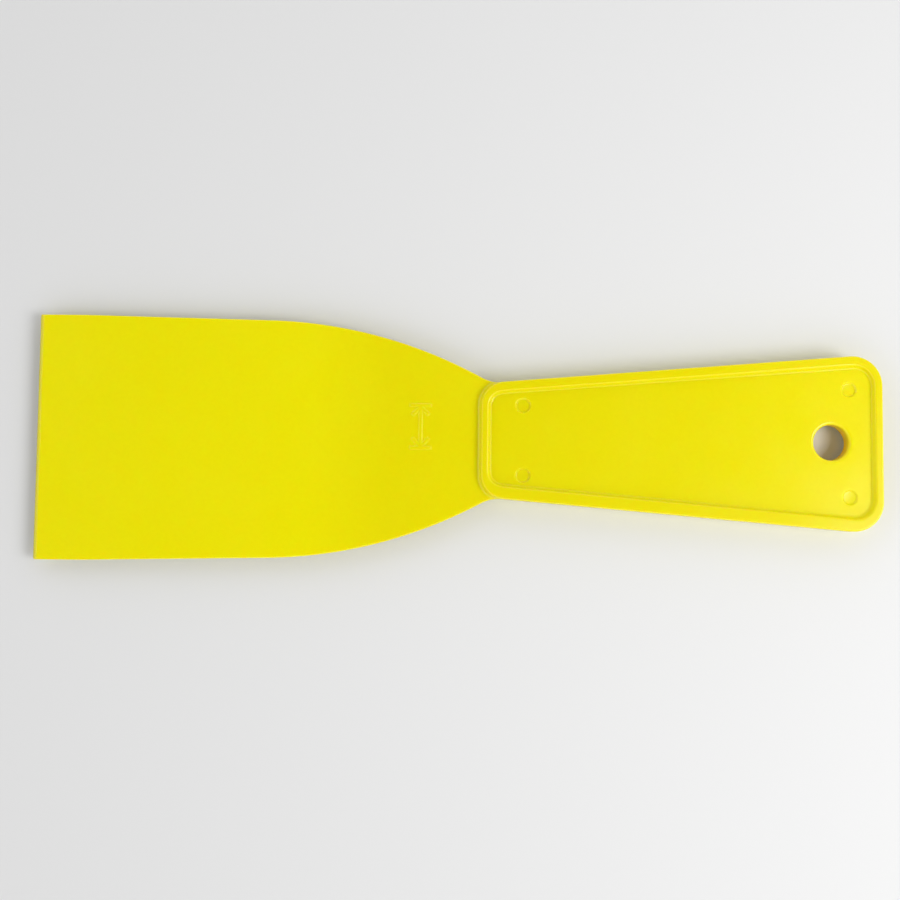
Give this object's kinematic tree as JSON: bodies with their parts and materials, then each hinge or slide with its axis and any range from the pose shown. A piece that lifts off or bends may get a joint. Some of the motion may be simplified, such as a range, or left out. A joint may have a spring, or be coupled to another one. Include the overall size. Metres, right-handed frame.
{
  "type": "plastic putty knife",
  "caption": "One-piece plastic putty knife: thin tapering blade with a bevelled working edge, flared handle with a raised rim around a shallow recessed panel on each face, and a hanging hole.",
  "frame": {"origin": "middle of the overall length and width, in the plane the back of the handle's rim rests on", "axes": "+X from the working edge towards the hanging end, +Y across the blade, +Z out of the front face with the ejector marks"},
  "size_m": [0.1746, 0.0508, 0.0056],
  "materials": {
    "yellow_plastic": "satin moulded polypropylene"
  },
  "bodies": {
    "root": {"blade": "yellow_plastic", "handle": "yellow_plastic", "width_mark": "yellow_plastic"}
  },
  "joints": []
}
